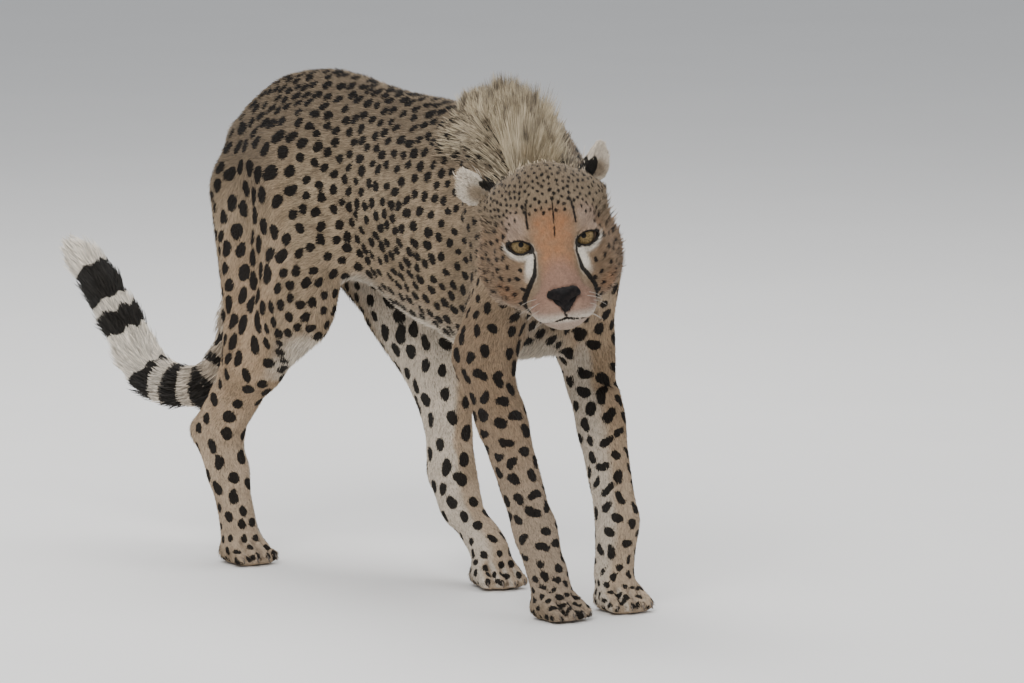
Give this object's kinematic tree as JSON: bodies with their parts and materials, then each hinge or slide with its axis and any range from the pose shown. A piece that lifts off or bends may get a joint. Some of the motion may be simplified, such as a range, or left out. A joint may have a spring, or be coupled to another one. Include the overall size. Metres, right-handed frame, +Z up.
{
  "type": "cheetah",
  "caption": "Young cheetah as a still, life-size museum model, walking with head low and turned to its right, spotted coat, short mane, tail lifted at the end.",
  "frame": {"origin": "on the floor, under the middle of the animal's bounding box", "axes": "+Z up; the animal walks towards -Y, so +Y is towards its tail; +X is the animal's left"},
  "size_m": [0.3024, 1.08, 0.6484],
  "materials": {
    "coat_tan": "short dense fur, tan with dark spots",
    "coat_pale": "soft pale fur",
    "mane_hair": "long standing hair, greyish blond with dark tips",
    "eye": "wet, glossy amber eye",
    "nose_leather": "damp, fine-pebbled black skin"
  },
  "bodies": {
    "root": {"head": "coat_tan", "neck": "coat_tan", "mane": "mane_hair", "chest": "coat_tan", "loin": "coat_tan", "rump": "coat_tan", "ear_left": "coat_pale", "ear_right": "coat_pale", "eye_left": "eye", "eye_right": "eye", "nose_pad": "nose_leather", "fore_left_upper": "coat_tan", "fore_left_lower": "coat_tan", "fore_left_paw": "coat_tan", "fore_right_upper": "coat_tan", "fore_right_lower": "coat_tan", "fore_right_paw": "coat_tan", "hind_left_thigh": "coat_tan", "hind_left_shank": "coat_tan", "hind_left_hock": "coat_tan", "hind_left_paw": "coat_tan", "hind_right_thigh": "coat_tan", "hind_right_shank": "coat_tan", "hind_right_hock": "coat_tan", "hind_right_paw": "coat_tan", "tail_base": "coat_tan", "tail_middle": "coat_tan", "tail_end": "coat_tan", "tail_tip": "coat_pale"}
  },
  "joints": []
}
